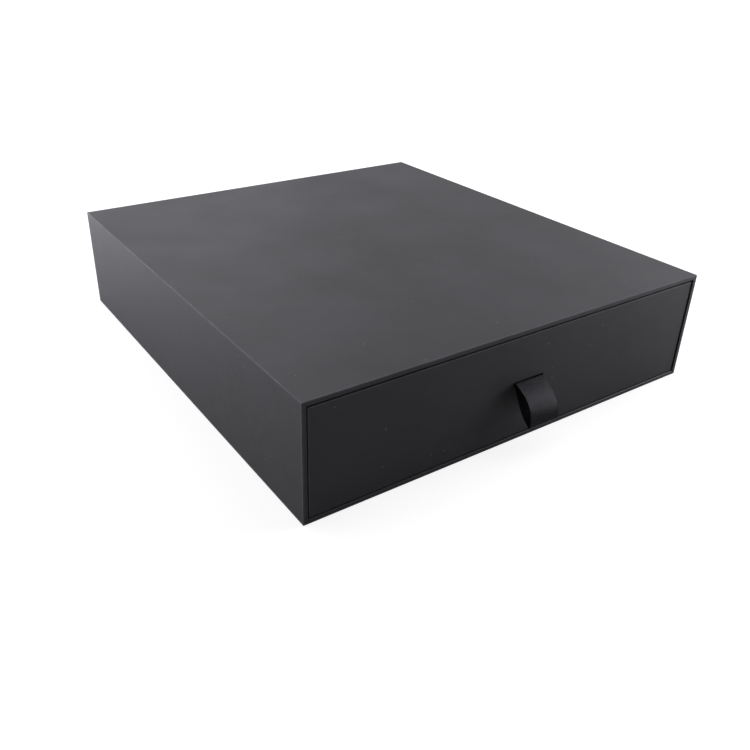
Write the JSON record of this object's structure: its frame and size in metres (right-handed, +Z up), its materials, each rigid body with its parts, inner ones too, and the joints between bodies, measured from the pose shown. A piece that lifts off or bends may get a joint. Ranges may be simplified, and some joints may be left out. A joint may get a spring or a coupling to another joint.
{
  "type": "drawer box",
  "caption": "Rigid paper-wrapped clothing box: a sleeve closed at the back holds a drawer that pulls out by a ribbon loop.",
  "frame": {"origin": "centre of the sleeve's underside, on the surface that the box stands on", "axes": "+Z up, +Y from the drawer's front towards the closed back, +X to the right seen from the front"},
  "size_m": [0.33, 0.3774, 0.082],
  "materials": {
    "wrap_paper": "matte",
    "lining_paper": "matte",
    "greyboard": "matte",
    "kraft_tape": "matte",
    "ribbon": "satin"
  },
  "bodies": {
    "sleeve": {"sleeve_top_board": "greyboard", "sleeve_bottom_board": "greyboard", "sleeve_left_board": "greyboard", "sleeve_right_board": "greyboard", "sleeve_back_board": "greyboard", "sleeve_wrap": "wrap_paper", "sleeve_base_sheet": "wrap_paper", "sleeve_back_sheet": "wrap_paper", "sleeve_lining": "lining_paper"},
    "drawer": {"drawer_bottom_board": "greyboard", "drawer_front_board": "greyboard", "drawer_back_board": "greyboard", "drawer_left_board": "greyboard", "drawer_right_board": "greyboard", "drawer_corner_stay_front_left": "kraft_tape", "drawer_corner_stay_front_right": "kraft_tape", "drawer_corner_stay_back_left": "kraft_tape", "drawer_corner_stay_back_right": "kraft_tape", "drawer_wrap": "wrap_paper", "drawer_lining": "lining_paper", "ribbon_upper_tail": "ribbon", "ribbon_lower_tail": "ribbon", "ribbon_anchor_tape": "kraft_tape"},
    "ribbon": {"ribbon_loop": "ribbon"}
  },
  "joints": [
    {"name": "drawer_slide", "type": "slide", "parent": "sleeve", "child": "drawer", "axis": [0, -1, 0], "range_m": [0, 0.356]},
    {"name": "ribbon_lift", "type": "hinge", "parent": "drawer", "child": "ribbon", "pos_m": [0.0039, -0.1802, 0.0438], "axis": [-1, 0, 0], "range_deg": [0, 110]}
  ]
}
